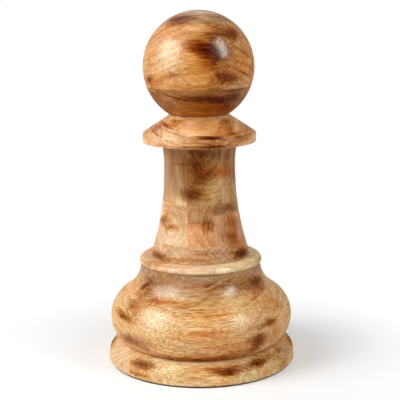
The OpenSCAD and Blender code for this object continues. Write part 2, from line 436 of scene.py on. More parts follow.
# %% [markdown]
# ## The neck
# Ten offcuts are glued into one block before turning, so each shows its own colour and grain. The flare is
# a long hollow arc, upright at the waist and eased into an upright foot. One form is turned, and each block
# is sawn out of a copy of it at its glue lines.

# %% Neck outline
neck_foot_h = 1.5 * mm
neck_foot_round = 14 * mm
flare_h = 71.9 * mm
neck_r = 30.15 * mm
neck_head_h = 17 * mm
neck_head_out = 2.2 * mm
neck_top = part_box("neck_upper_left")[1].z
flare_z = rim_top + neck_foot_h
waist_z = flare_z + flare_h
flare_in = neck_foot_r - neck_r
flare_round = (flare_h ** 2 + flare_in ** 2) / (2 * flare_in) - neck_foot_round
flare_c = neck_r + flare_round
ease_c = neck_foot_r - neck_foot_round
ease = degrees(atan2(flare_h, flare_c - ease_c))
neck_head_z = neck_top - neck_head_h
neck_head_round = (neck_head_h ** 2 + neck_head_out ** 2) / (2 * neck_head_out)
neck_head_angle = degrees(asin(neck_head_h / neck_head_round))
print("flare radius", round(flare_round / mm, 1), "mm")

# %% Neck blocks
neck = turn("neck", [
    (0, base_bore_high),
    (bore_r, base_bore_high),
    (bore_r, neck_foot),
    (neck_foot_r, neck_foot),
    *arc((ease_c, flare_z), neck_foot_round, 0, ease),
    *arc((flare_c, waist_z), flare_round, 180 + ease, 180),
    *arc((neck_r + neck_head_round, neck_head_z), neck_head_round, 180, 180 - neck_head_angle),
    (bore_r, neck_top),
    (bore_r, head_bore_low),
    (0, head_bore_low),
])
lower_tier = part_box("neck_bottom")[1].z
upper_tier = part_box("neck_lower_left")[1].z
left_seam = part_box("neck_lower_left")[1].x
lower_right_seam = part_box("neck_lower_right")[0].x
upper_right_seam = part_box("neck_upper_right_top")[0].x
band_middle_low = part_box("neck_band_middle")[0].z
band_right_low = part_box("neck_band_right")[0].z
pale_block_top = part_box("neck_upper_right_low")[1].z

dress("neck_bottom", "grey_brown_wood", neck, top=lower_tier)
dress("neck_lower_left", "cream_wood", neck, right=left_seam, bottom=lower_tier, top=upper_tier)
dress("neck_lower_middle", "orange_wood", neck,
      left=left_seam, right=lower_right_seam, bottom=lower_tier, top=band_middle_low)
dress("neck_lower_right", "pink_brown_wood", neck,
      left=lower_right_seam, bottom=lower_tier, top=band_right_low)
dress("neck_band_middle", "grey_brown_wood", neck,
      left=left_seam, right=lower_right_seam, bottom=band_middle_low, top=upper_tier)
dress("neck_band_right", "dark_wood", neck, left=lower_right_seam, bottom=band_right_low, top=upper_tier)
dress("neck_upper_left", "pink_brown_wood", neck, right=left_seam, bottom=upper_tier)
dress("neck_upper_middle", "dark_wood", neck, left=left_seam, right=upper_right_seam, bottom=upper_tier)
dress("neck_upper_right_low", "grey_brown_wood", neck,
      left=upper_right_seam, bottom=upper_tier, top=pale_block_top)
dress("neck_upper_right_top", "pink_brown_wood", neck, left=upper_right_seam, bottom=pale_block_top)
scrap(neck)

# %% [markdown]
# ## The collar
# One board, turned to an upright edge under a cone. Both edges are softened with a small round, because a
# sharp edge would not take lacquer.

# %% Collar
collar_round = 1.5 * mm
collar_edge_h = 8.1 * mm
head_over = 2.8 * mm
collar_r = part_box("collar")[1].x
collar_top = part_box("collar")[1].z
head_seat_r = 26.15 * mm
cone_top_r = head_seat_r - head_over
cone_angle = atan2(collar_r - cone_top_r, collar_top - neck_top - collar_edge_h)
collar_round_z = neck_top + collar_edge_h - collar_round * (1 - cos(cone_angle)) / sin(cone_angle)

collar = turn("collar_form", [
    (bore_r, neck_top),
    *arc((collar_r - collar_round, neck_top + collar_round), collar_round, -90, 0),
    *arc((collar_r - collar_round, collar_round_z), collar_round, 0, degrees(cone_angle)),
    (cone_top_r, collar_top),
    (bore_r, collar_top),
    (bore_r, neck_top),
])
dress("collar", "golden_wood", collar)
scrap(collar)

# %% [markdown]
# ## The ball
# Three boards: a brown one below, a thick golden one, and a brown cap. The ball stands on a small flat.

# %% Ball
head_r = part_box("head_middle")[1].x
head_top_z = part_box("head_top")[1].z
head_mid = head_top_z - head_r
head_lower_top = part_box("head_lower")[1].z
head_middle_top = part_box("head_middle")[1].z
seat_angle = -degrees(asin((head_mid - collar_top) / head_r))

ball = turn("ball", [
    (0, head_bore_high),
    (bore_r, head_bore_high),
    (bore_r, collar_top),
    *arc((0, head_mid), head_r, seat_angle, 90),
])
dress("head_lower", "dark_wood", ball, top=head_lower_top)
dress("head_middle", "golden_wood", ball, bottom=head_lower_top, top=head_middle_top)
dress("head_top", "dark_wood", ball, bottom=head_middle_top)
scrap(ball)

# %% [markdown]
# ## Node groups
# An effect that every board needs is built once, as a node group with named inputs and outputs, and is then
# placed in each board's material. What differs from board to board goes into the inputs.

# %% Group helpers
def vec(tree, operation, *values):
    """One step of arithmetic on vectors."""
    return add(tree, "VectorMath", dict(enumerate(values)), operation=operation).outputs[0]


def new_group(name, inputs, outputs):
    """An empty node group: its tree, its inputs by name, and the node that takes its results."""
    tree = bpy.data.node_groups.new(name, "ShaderNodeTree")
    for socket, kind in inputs.items():
        tree.interface.new_socket(name=socket, in_out="INPUT", socket_type="NodeSocket" + kind)
    for socket, kind in outputs.items():
        tree.interface.new_socket(name=socket, in_out="OUTPUT", socket_type="NodeSocket" + kind)
    given = tree.nodes.new("NodeGroupInput").outputs
    result = tree.nodes.new("NodeGroupOutput")
    return tree, given, result


def use(tree, group, plugs):
    """Places a node group in a material."""
    return add(tree, "Group", plugs, node_tree=group)


# %% [markdown]
# ## The grain of a log
# Wood is a solid: a board's pattern runs right through it, so it is built from Object coordinates, in
# metres, and comes out right on every side. Every board is cut from a log, so its pattern is worked out in
# the log's own frame: X runs along the grain, and the growth rings lie round the pith, the line through the
# log's heart. Moving and leaning the pith decides whether a board shows straight lines, arches or end
# grain. Two noises bend the rings, one slow as the tree grew, one fine as the fibres weave. A growth ring
# darkens slowly and ends sharply, so its tone is the fraction left over when the distance from the pith is
# counted in rings. Noise keeps near to a half, so each span of noise starts and ends not far from it.

# %% Log grain group
slow_bend = (8, 28, 28)
fine_bend = (50, 110, 110)
bend_gain = 4.0
layer_steps = (0.6, 7.0, 9.0)
uneven_stretch = (0.35, 2, 2)
uneven_rings = 3.0
clear_stretch = (1.3, 3, 3)
ring_starts = 0.25
ring_darkest = 0.9
streak_stretch = (20, 180, 180)
line_stretch = (80, 800, 800)


def build_log_grain():
    """Rings, bands, streaks, lines and pores of a log, each from 0 to 1."""
    tree, given, result = new_group(
        "log grain",
        {
            "Vector": "Vector", "Pith": "Vector", "Lean": "Vector", "Ring": "Float", "Sway": "Float",
            "Ripple": "Float", "Pore length": "Float", "Pore width": "Float",
        },
        {"Rings": "Float", "Bands": "Float", "Streaks": "Float", "Lines": "Float", "Pores": "Float"},
    )
    plugs = {"Vector": given["Vector"], "Location": given["Pith"], "Rotation": given["Lean"]}
    log = add(tree, "Mapping", plugs, vector_type="TEXTURE").outputs[0]

    def noise(vector, stretch, detail, roughness=0.5):
        """Noise with that many features to each unit of the vector, along the grain and across it."""
        scaled = vec(tree, "MULTIPLY", vector, stretch)
        plugs = {"Vector": scaled, "Scale": 1.0, "Detail": detail, "Roughness": roughness}
        return add(tree, "TexNoise", plugs)

    bent = log
    for stretch, amount in ((slow_bend, given["Sway"]), (fine_bend, given["Ripple"])):
        drift = vec(tree, "SUBTRACT", noise(log, stretch, 2.0).outputs["Color"], (0.5, 0.5, 0.5))
        far = {0: drift, "Scale": calc(tree, "MULTIPLY", amount, bend_gain)}
        bent = vec(tree, "ADD", bent, add(tree, "VectorMath", far, operation="SCALE").outputs[0])
    along = add(tree, "SeparateXYZ", {0: bent}).outputs
    across = vec(tree, "MULTIPLY", bent, (0, 1, 1))
    radius = add(tree, "VectorMath", {0: across}, operation="LENGTH").outputs["Value"]
    count = calc(tree, "DIVIDE", radius, given["Ring"])
    place = add(tree, "CombineXYZ", {0: count, 1: along[0], 2: along[1]}).outputs[0]
    layers = vec(tree, "MULTIPLY", place, layer_steps)
    bands = span(tree, noise(layers, (1, 1, 1), 4.0, 0.6).outputs[0], 0.3, 0.7)
    uneven = noise(layers, uneven_stretch, 1.0).outputs[0]
    part = calc(tree, "FRACT", calc(tree, "MULTIPLY_ADD", uneven, uneven_rings, count))
    darkening = span(tree, part, ring_starts, ring_darkest, kind="SMOOTHSTEP")
    ending = span(tree, part, ring_darkest, 1.0, 1.0, 0.0)
    clear = span(tree, noise(layers, clear_stretch, 2.0).outputs[0], 0.35, 0.6)
    rings = calc(tree, "MULTIPLY", calc(tree, "MULTIPLY", darkening, ending), clear)
    streaks = noise(bent, streak_stretch, 3.0).outputs[0]
    lines = noise(bent, line_stretch, 3.0, 0.6).outputs[0]
    length = calc(tree, "DIVIDE", 1.0, given["Pore length"])
    width = calc(tree, "DIVIDE", 1.0, given["Pore width"])
    cells = add(tree, "CombineXYZ", {0: length, 1: width, 2: width}).outputs[0]
    vessels = noise(bent, cells, 2.0, 0.6).outputs[0]
    plug(tree, result.inputs["Rings"], rings)
    plug(tree, result.inputs["Bands"], bands)
    plug(tree, result.inputs["Streaks"], span(tree, streaks, 0.3, 0.7))
    plug(tree, result.inputs["Lines"], span(tree, lines, 0.32, 0.68))
    plug(tree, result.inputs["Pores"], span(tree, vessels, 0.48, 0.7))
    return tree


log_grain = build_log_grain()
print("group", log_grain.name)

# %% [markdown]
# ## Marks
# A torch has singed the turned wood in patches. A mark is an ellipse on the surface, placed by its degrees
# round from the front and its height. The surface is rolled out flat round the mark, and the grain breaks
# up its edge, because a flame takes the soft wood between the fibres first.

# %% Mark group
mark_reach = 2.2


def hypotenuse(tree, a, b):
    """Length of the long side of a right-angled triangle."""
    return calc(tree, "SQRT", calc(tree, "MULTIPLY_ADD", a, a, calc(tree, "MULTIPLY", b, b)))


def build_mark():
    """Mask of one mark, from 0 outside it to 1 in its middle."""
    tree, given, result = new_group(
        "mark",
        {
            "Round": "Float", "Radius": "Float", "Up": "Float", "Breakup": "Float", "Turn": "Float",
            "Height": "Float", "Half length": "Float", "Half width": "Float", "Tilt": "Float",
            "Ragged": "Float",
        },
        {"Mask": "Float"},
    )
    turned = calc(tree, "WRAP", calc(tree, "SUBTRACT", given["Round"], given["Turn"]), pi, -pi)
    across = calc(tree, "MULTIPLY", turned, given["Radius"])
    above = calc(tree, "SUBTRACT", given["Up"], given["Height"])
    tilt_cos = calc(tree, "COSINE", given["Tilt"])
    tilt_sin = calc(tree, "SINE", given["Tilt"])
    along = calc(tree, "MULTIPLY_ADD", across, tilt_cos, calc(tree, "MULTIPLY", above, tilt_sin))
    aside = calc(tree, "SUBTRACT", calc(tree, "MULTIPLY", above, tilt_cos),
                 calc(tree, "MULTIPLY", across, tilt_sin))
    away = hypotenuse(tree, calc(tree, "DIVIDE", along, given["Half length"]),
                      calc(tree, "DIVIDE", aside, given["Half width"]))
    torn = calc(tree, "MULTIPLY", calc(tree, "SUBTRACT", given["Breakup"], 0.5), given["Ragged"])
    fading = span(tree, calc(tree, "ADD", away, torn), mark_reach, 0.0, kind="SMOOTHSTEP")
    plug(tree, result.inputs["Mask"], calc(tree, "MULTIPLY", fading, fading))
    return tree


mark_group = build_mark()
print("group", mark_group.name)

# %% [markdown]
# ## Stains
# A burn, a plum-coloured heart streak or a bleached patch all change the colour of the wood as a dye does:
# the deeper it goes, the stronger it shows. Each channel is multiplied by the tint raised to the depth, so
# a shallow burn is orange and a deep one almost black. A tint above one bleaches.

# %% Stain group
def build_stain():
    """Wood colour under a stain of that depth."""
    tree, given, result = new_group(
        "stain",
        {"Color": "Color", "Depth": "Float", "Tint": "Color"},
        {"Color": "Color"},
    )
    wood = add(tree, "SeparateColor", {0: given["Color"]}).outputs
    tint = add(tree, "SeparateColor", {0: given["Tint"]}).outputs
    left_over = [calc(tree, "POWER", tint[i], given["Depth"]) for i in range(3)]
    stained = [calc(tree, "MULTIPLY", wood[i], left_over[i]) for i in range(3)]
    mixed = add(tree, "CombineColor", dict(enumerate(stained)))
    plug(tree, result.inputs["Color"], mixed.outputs[0])
    return tree


stain = build_stain()
# Char also paints shade, pale paints highlights and grey paints a sheen, in some of the marks.
tints = {
    "char": (0.27, 0.105, 0.025, 1),
    "plum": (0.5, 0.33, 0.3, 1),
    "rust": (0.8, 0.46, 0.24, 1),
    "gold": (1.1, 0.95, 0.6, 1),
    "honey": (1.0, 0.85, 0.5, 1),
    "pale": (1.15, 1.4, 1.75, 1),
    "grey": (0.7, 0.67, 0.7, 1),
    "cream": (1.4, 1.45, 1.5, 1),
}
print("group", stain.name, "with", ", ".join(tints))

# %% [markdown]
# ## A board's material
# One function makes the wood of any board from its two colours, its place in the log, its pores and its
# marks. Rings, lines and pores darken the wood as a very light burn would, so they share its tint. The
# lacquer is the shader's own coat: a clear glossy layer, a little thinner over the open pores.

# %% Board material
least_singed = 0.7
most_singed = 1.3
wood_roughness = 0.42
gap_roughness = 0.55
fibre_height = 0.4
fibre_depth = 0.1 * mm
fibre_bump = 0.25
lacquer_in_pores = 0.6
lacquer_roughness = 0.25


def srgb(text):
    """A colour written as six hex digits, as the linear values that a shader takes."""
    parts = [int(text[i:i + 2], 16) / 255 for i in (0, 2, 4)]
    return [p / 12.92 if p <= 0.04045 else ((p + 0.055) / 1.055) ** 2.4 for p in parts] + [1]


def board_wood(name, pale, deep, pith, lean=(0, 0, 0), ring=4.0, sway=3.0, ripple=0.5, ring_depth=0.12,
               line_depth=0.25, pore=(7.0, 0.9), pore_depth=0.25, lacquer=0.17, marks=()):
    """Wood of one board. Pith, ring, sway, ripple and pore sizes are in millimetres, lean in degrees."""
    material = bpy.data.materials.new(name)
    material.use_nodes = True
    tree = material.node_tree
    shader = tree.nodes["Principled BSDF"]
    where = add(tree, "TexCoord").outputs["Object"]
    grain = use(tree, log_grain, {
        "Vector": where,
        "Pith": [v * mm for v in pith],
        "Lean": [radians(v) for v in lean],
        "Ring": ring * mm,
        "Sway": sway * mm,
        "Ripple": ripple * mm,
        "Pore length": pore[0] * mm,
        "Pore width": pore[1] * mm,
    }).outputs
    tone = calc(tree, "MULTIPLY", grain["Bands"], 0.5)
    tone = span(tree, calc(tree, "MULTIPLY_ADD", grain["Streaks"], 0.5, tone), 0.2, 0.8)
    colour = add(tree, "Mix", {0: tone, 6: srgb(deep), 7: srgb(pale)}, data_type="RGBA").outputs[2]
    gaps = calc(tree, "SUBTRACT", 1.0, grain["Lines"])
    breakup = calc(tree, "MULTIPLY_ADD", grain["Lines"], 0.5, calc(tree, "MULTIPLY", grain["Streaks"], 0.5))
    parts = add(tree, "SeparateXYZ", {0: where}).outputs
    turn_here = calc(tree, "ARCTAN2", parts[0], calc(tree, "MULTIPLY", parts[1], -1.0))
    radius_here = hypotenuse(tree, parts[0], parts[1])
    depths = {"char": 0.0}
    for m in marks:
        mask = use(tree, mark_group, {
            "Round": turn_here,
            "Radius": radius_here,
            "Up": parts[2],
            "Breakup": breakup,
            "Turn": radians(m["turn"]),
            "Height": m["height"] * mm,
            "Half length": m["length"] * mm,
            "Half width": m["width"] * mm,
            "Tilt": radians(m["tilt"]),
            "Ragged": m["ragged"],
        }).outputs["Mask"]
        depths[m["kind"]] = calc(tree, "MULTIPLY_ADD", mask, m["depth"], depths.get(m["kind"], 0.0))
    singed = calc(tree, "MULTIPLY", depths["char"], span(tree, gaps, 0, 1, least_singed, most_singed))
    singed = calc(tree, "MULTIPLY_ADD", grain["Rings"], ring_depth, singed)
    singed = calc(tree, "MULTIPLY_ADD", gaps, line_depth, singed)
    depths["char"] = calc(tree, "MULTIPLY_ADD", grain["Pores"], pore_depth, singed)
    for kind, depth in depths.items():
        colour = use(tree, stain, {"Color": colour, "Depth": depth, "Tint": tints[kind]}).outputs[0]
    plug(tree, shader.inputs["Base Color"], colour)
    plug(tree, shader.inputs["Roughness"], span(tree, gaps, 0, 1, wood_roughness, gap_roughness))
    fibres = calc(tree, "MULTIPLY", grain["Lines"], fibre_height)
    surface = calc(tree, "SUBTRACT", fibres, grain["Pores"])
    bump = add(tree, "Bump", {"Height": surface, "Strength": fibre_bump, "Distance": fibre_depth})
    plug(tree, shader.inputs["Normal"], bump.outputs[0])
    coat = span(tree, grain["Pores"], 0, 1, lacquer, lacquer_in_pores * lacquer)
    plug(tree, shader.inputs["Coat Weight"], coat)
    shader.inputs["Coat Roughness"].default_value = lacquer_roughness
    shader.inputs["Specular IOR Level"].default_value = 0.0
    print("wood", name, "with", len(marks), "marks")
    return material


# %% [markdown]
# ## Listing the marks
# Each turned form has its marks listed by kind. Char is a burn, plum and rust are heartwood, gold and honey
# are warm sapwood, grey is worn, and pale and cream are bleached. A few marks are painted light instead:
# char paints shade in the belly's groove and partly at the neck's foot, some pale marks paint highlights,
# and grey and pale marks paint a sheen on the ball's lower board. A mark gives its turn in degrees, its
# height, half its length and half its width in millimetres, and its depth. A tilt in degrees and a
# raggedness of the edge follow where they are not the usual ones. A burn may cross a glue line, so each
# board takes those marks of its form that reach it.

# %% Mark helpers
mark_edge = 1.7


def mark(kind, turn, height, length, width, depth, tilt=0, ragged=0.5):
    """A mark on the turned surface: degrees and millimetres, with half its length and half its width."""
    return {
        "kind": kind, "turn": turn, "height": height, "length": length, "width": width,
        "depth": depth, "tilt": tilt, "ragged": ragged,
    }


def marks_of(**kinds):
    """All marks of a form, from lists of their places by kind."""
    return [mark(kind, *place) for kind, places in kinds.items() for place in places]


def reaching(marks, node):
    """The marks of a turned form that reach one of its boards."""
    low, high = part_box(node)
    found = []
    for m in marks:
        along, up = abs(cos(radians(m["tilt"]))), abs(sin(radians(m["tilt"])))
        reach_x = mark_edge * mm * (m["length"] * along + m["width"] * up)
        reach_z = mark_edge * mm * (m["length"] * up + m["width"] * along)
        x = high.y * sin(radians(m["turn"]))
        z = m["height"] * mm
        if low.x - reach_x < x < high.x + reach_x and low.z - reach_z < z < high.z + reach_z:
            found.append(m)
    return found


def paint_with(piece, material):
    """Gives a piece its one material."""
    piece.data.materials.clear()
    piece.data.materials.append(material)


def wood_on(node, name, pale, deep, marks=(), own=(), **log):
    """Paints a piece with wood: the marks of its form that reach it, and patches of its own."""
    found = reaching(marks, node) + list(own)
    paint_with(pieces[node], board_wood(name, pale, deep, marks=found, **log))


# %% [markdown]
# ## The ball's wood
# The golden board has its pith above it, so its rings arch over the front and fall away at both sides. The
# lower board and the cap come from browner heartwood. The torch came last, so its burns run across the glue
# lines.

# %% Ball marks
ball_marks = marks_of(char=[
    (4, 272.5, 11, 5, 1.25), (8.5, 267, 8, 4, 1.0, 0, 0.3), (23, 267, 10, 7, 1.3),
    (18, 280, 8, 4.5, 0.75), (13, 260, 9, 6, 0.5), (46, 281, 10, 5, 1.0, 3),
    (31, 283.5, 9, 5, 0.25, 26), (22, 287.4, 8, 3, 0.4), (-12, 293.5, 7, 1.5, 0.3),
    (-62, 245, 8, 3, 0.7, 10), (-25, 249.5, 7, 1.5, 0.4, 14), (-58, 239.5, 6, 2.5, 0.18),
    (16.5, 243, 6, 3, 0.2), (29, 247.5, 10, 4.5, 0.75, -10), (34, 243, 14, 5, 0.3, -5),
    (20, 238, 8, 2.5, 0.45), (25, 255, 11, 7, 0.35), (51, 250, 12, 0.8, 0.6, -20, 0.3),
    (52, 267.5, 14, 0.6, 0.7, -32, 0.2), (7, 230, 29, 3.5, 0.7), (28, 229, 14, 3.5, 0.7),
    (-31, 231.5, 14, 0.8, 0.6, -16, 0.3), (45, 221, 10, 3.5, 0.4, -10), (20, 223, 12, 6, 0.25),
    (42, 293, 9, 2.5, 0.2), (110, 256, 13, 4, 0.6, -10), (128, 282, 13, 5, 0.5),
    (152, 263, 14, 7, 0.9), (190, 230, 26, 3.5, 0.7), (205, 285, 13, 5, 0.6),
    (240, 247, 16, 4.5, 0.5, 8), (258, 271, 12, 6, 0.5),
], plum=[
    (-41, 292.5, 11, 3.5, 1.7, 2), (-58, 230.5, 11, 5.5, 0.5, 12),
], rust=[
    (-39, 288.5, 11, 1.6, 0.7, 4, 0.4), (-52, 241.5, 11, 3.5, 0.6, 6), (-35, 248, 14, 4, 0.35, 10),
    (60, 269.5, 12, 10, 0.3), (70, 252, 7, 10, 0.75), (-36, 280.5, 11, 6, 0.3),
    (-25, 236, 16, 4, 0.22), (50, 255.5, 13, 8, 0.5), (-5, 221.5, 24, 4.5, 0.3),
    (120, 268, 14, 6, 0.4),
], gold=[
    (1, 246, 14, 5, 0.3),
], honey=[
    (4, 259, 15, 21, 1.4), (3, 271, 9, 5, 0.8), (3, 290.5, 13, 2.5, 0.7),
    (3, 217, 15, 2.5, 1.1), (46, 262, 10, 10, 0.5), (15, 255, 9, 6, 0.7),
    (8, 274, 9, 4, 0.5), (58, 263, 10, 9, 0.35), (-20, 241, 18, 2.5, 0.7),
    (14, 221, 20, 10, 1.7), (190, 255, 20, 20, 1),
], pale=[
    # Painted highlight: the pale marks at -34, -24 and -36 degrees on the ball's left, where the left soft
    # box lights it.
    (-3, 285.5, 9, 4, 0.35), (-34, 268, 11, 9, 0.5), (-24, 255, 9, 9, 0.5),
    (-58, 247, 8, 4, 0.45), (-76, 256, 6, 12, 0.4), (65, 258.5, 5, 3, 1.5),
    (-36, 257, 13, 8, 1.2, 9), (36, 257, 9, 1.2, 0.6, -25, 0.4), (52, 243.5, 12, 3.5, 0.4),
    (29, 239.5, 20, 0.7, 0.7, 0, 0.4), (6, 236, 27, 2, 0.35), (-36, 232, 13, 7, 1.2),
    (0, 298, 16, 3, 0.8), (27, 290, 9, 0.7, 0.7, 0, 0.4), (180, 266, 12, 7, 0.4),
    (36, 284.5, 8, 4, 0.5), (45, 230.5, 11, 5, 0.6),
], grey=[
    # Painted reflection: these grey marks and the pale mark at 45 degrees and 230.5 mm give a bluish-grey
    # sheen over the dark band of the lower board.
    (45, 230.5, 11, 4.5, 2.2), (46, 235.5, 9, 3, 0.8), (36, 226, 7, 3, 0.9),
], cream=[
    (-44, 248.5, 6, 3, 0.6), (0, 296.5, 14, 2.5, 0.4), (-28, 230, 16, 3, 0.55),
    (-38, 216.5, 8, 2.5, 1),
])
print(len(ball_marks), "marks on the ball")

# %% Ball wood
wood_on("head_middle", "golden board of the ball", "f6ca9f", "dca975", ball_marks, pith=(0, 4, 312), ring=5)
wood_on("head_lower", "brown board of the ball", "cb996a", "a56c3c", ball_marks, pith=(0, -10, 150), ring=6)
wood_on("head_top", "brown cap of the ball", "dcc3b4", "b8977d", ball_marks, pith=(0, 20, 360), ring=5)

# %% [markdown]
# ## The collar's wood
# One golden board with its pith below, so its rings sweep down from the sides to the front of the cone.

# %% Collar wood
collar_marks = marks_of(char=[
    (-38, 210.5, 8, 1.1, 0.5), (-39, 208, 7, 2, 0.25), (-36, 192.5, 7, 1, 0.3),
    (50, 196.3, 9, 2.5, 0.18), (42, 197.5, 16, 3, 0.2), (-52, 207, 10, 0.8, 0.7, -9),
    (46, 209.5, 8, 2, 0.5, 6), (39, 205, 7, 3, 0.4, 14), (11, 199.2, 11.5, 1.2, 1.5, -3),
    (38, 201, 15, 1, 0.5, 3), (44, 198.5, 14, 0.9, 0.4, 2), (13, 192.3, 14, 1.5, 1.7),
    (12, 195, 18, 3, 0.35), (-14, 192, 12, 0.7, 0.4), (-56, 201, 14, 0.4, 0.5, -9, 0.3),
    (-24, 201.5, 14, 0.4, 0.4, -9, 0.3), (120, 205, 13, 2.5, 0.6), (160, 193, 13, 1.1, 0.7),
    (175, 209, 9, 1.8, 0.5), (230, 200, 16, 1.4, 0.7, 3), (260, 204, 11, 2, 0.5),
], plum=[
    (-67, 205, 8, 3.5, 0.9, -3), (74, 202.5, 10, 3.5, 0.5, 4),
], rust=[
    (-3, 206.5, 15, 4, 0.3), (27, 202.5, 9, 3, 0.45), (200, 204, 15, 4, 0.4),
], honey=[
    (-6, 203.5, 6, 2, 0.6), (62, 203, 10, 5, 0.7), (-40, 209, 8, 3, 0.7),
    (5, 213.5, 15, 1.5, 0.9), (30, 206, 16, 6, 0.9), (200, 204, 20, 6, 0.9),
], pale=[
    (-34, 200.5, 17, 2.5, 0.3, -5), (-36, 195.5, 18, 2.5, 0.3, -2), (-9, 203, 11, 3.5, 0.7, -6),
    (-55, 213, 5, 2, 0.6), (68, 200.5, 5, 3, 0.5), (0, 213.6, 80, 1, 0.5, 0, 0.3),
], cream=[
    (-12, 203, 12, 3, 0.3),
])
wood_on("collar", "golden board of the collar", "fdd7b2", "e9b383", own=collar_marks,
        pith=(0, -2, 129), ring=3, ring_depth=0.18, line_depth=0.18, pore_depth=0.15)

# %% [markdown]
# ## The neck's wood
# Ten offcuts, so ten woods. Most stand upright, with the grain along the neck. The figured block and the
# cream block are seen end on, so their rings close into an eye. The marks run over the glue lines here too,
# but the patches in two of the blocks grew in their own wood and stop there.

# %% Neck marks
neck_marks = marks_of(char=[
    (6, 185.5, 10, 4.5, 0.4, 0, 0.3), (-5, 180, 10, 6, 0.35, 0, 0.3), (-22, 170, 6, 9, 0.28, 0, 0.3),
    (-8, 188, 10, 3, 0.15, 0, 0.3), (8, 174, 8, 5, 0.2, 0, 0.3), (46, 175, 5, 8, 0.2),
    (-4, 174, 8, 4, 0.4, 0, 0.3), (3, 166, 8, 6, 0.6, 0, 0.3), (-5, 159.5, 7, 3, 0.4, 0, 0.3),
    (-50, 168, 5, 8, 0.2), (-14, 150.5, 9, 5.5, 0.9, 3, 0.3), (-32, 175, 9, 1.2, 0.25, 5),
    (10, 183.5, 5, 2.5, 0.3, -3), (-65, 125.5, 8, 4, 0.7, 7), (-45, 121.5, 6, 2.5, 0.4, 8),
    (11, 125, 5, 5, 0.35), (5, 125, 5, 0.7, 0.5, 88, 0.4), (12, 125, 5, 0.8, 0.5, 87, 0.4),
    (17, 124, 5, 0.7, 0.4, 86, 0.4), (33, 115.5, 5, 5, 0.25), (47, 113.5, 5, 4.5, 0.4),
    # The char marks at 60 and -60 degrees, low on the neck beside the rim, are partly dark wood and partly
    # painted shade where the neck stands in the rim.
    (48, 124, 8, 5, 0.25), (60, 98, 12, 3.5, 1.4, -4), (-60, 96, 14, 3, 0.8, 1),
    (42, 137, 15, 3.5, 0.25, -3), (52, 138, 6, 4, 0.2), (14, 135.5, 6, 3, 0.15),
    (45, 95, 8, 3, 0.2), (50, 107, 6, 8, 0.12), (37, 165.5, 5, 0.8, 0.4, 89, 0.4),
    (36, 151.5, 5, 0.6, 0.4, 86, 0.3), (15, 101.5, 5, 0.4, 0.5, -47, 0.2),
    (8, 100.5, 5, 0.4, 0.4, -46, 0.2), (100, 158, 9, 6, 0.5), (115, 128, 9, 6, 0.4),
    (130, 100, 15, 4, 0.8), (150, 170, 10, 8, 0.6), (180, 120, 10, 7, 0.45),
    (210, 178, 9, 8, 0.5), (220, 98, 15, 3.5, 0.7), (250, 150, 10, 7, 0.45),
], plum=[
    (-42, 182, 8, 6, 0.3), (-35, 138, 22, 3, 0.3, 6),
], rust=[
    (27, 166, 9, 5, 0.65, -8), (47, 168, 11, 6, 0.7, -10), (-43, 122, 12, 3, 0.5, 8),
    (-2, 125.5, 10, 3.5, 0.4), (55, 126, 10, 6, 0.7, -8), (15, 110, 10, 6, 0.15),
    (-40, 133, 18, 4, 0.35, 5), (54, 105, 13, 5.5, 1, -8), (50, 114, 7, 5.5, 0.6),
    (-12, 97, 24, 1.5, 0.7, 2), (5, 103, 13, 3, 0.3), (160, 110, 12, 6, 0.7),
    (-62, 138, 12, 3, 0.25, 5),
], honey=[
    (2, 169, 10, 9, 1.5), (6, 149.5, 7, 4, 0.6), (-5, 173, 9, 5, 0.8),
    (9, 165, 7, 5, 0.4),
], pale=[
    (-76, 154.5, 15, 19, 0.3), (4, 142.5, 12, 1.5, 0.8, -2), (32, 168, 6, 16, 0.7),
    (31, 147, 6, 6, 0.8), (20, 157, 7, 5, 0.7), (42, 160, 13, 4, 0.75, -8),
    (-40, 113, 15, 5, 0.25, 8), (28, 128.5, 5, 4.5, 0.3), (30, 114, 6, 7, 0.4),
    (51, 110, 5, 4, 0.5), (57, 128, 5, 4, 0.5), (66, 128, 4, 4, 0.7),
    (-6, 173, 9, 5, 0.45), (32, 106, 5, 4, 0.35), (11, 99.5, 8, 2.5, 0.4),
], grey=[
    (23, 182, 6, 5, 0.5), (41, 181, 12, 5, 0.6, -10), (50, 183, 5, 5, 0.5),
    (63, 168, 5, 9, 1), (55, 119, 4, 5, 0.5), (21, 102, 9, 4, 0.35, -5),
    (-33, 131, 14, 3.5, 0.4),
], cream=[
    (19, 151, 10, 8, 1.2, -5), (36, 165, 5, 15, 0.8), (25, 109, 5, 10, 0.4),
    (14, 142.5, 14, 2, 0.5), (-58, 104, 12, 3, 0.4), (-8, 141.5, 9, 3, 0.55),
    (-20, 112, 6, 6, 0.35), (72, 146, 6, 14, 0.3),
])
print(len(neck_marks), "marks on the neck")

# %% Neck wood
upright = (0, -90, 0)
end_on = (0, 0, 90)
pinkish_patches = marks_of(
    gold=[(-45, 142, 18, 5, 0.4, 4)],
    pale=[(-28, 143, 9, 9, 1.1)],
    cream=[(-50, 140.5, 20, 11, 1.0, 6), (-27, 141, 9, 7, 0.65)],
)
figured_patches = marks_of(
    rust=[(32, 169, 4, 6, 0.4)],
    cream=[(33, 169, 4, 7, 0.5)],
)

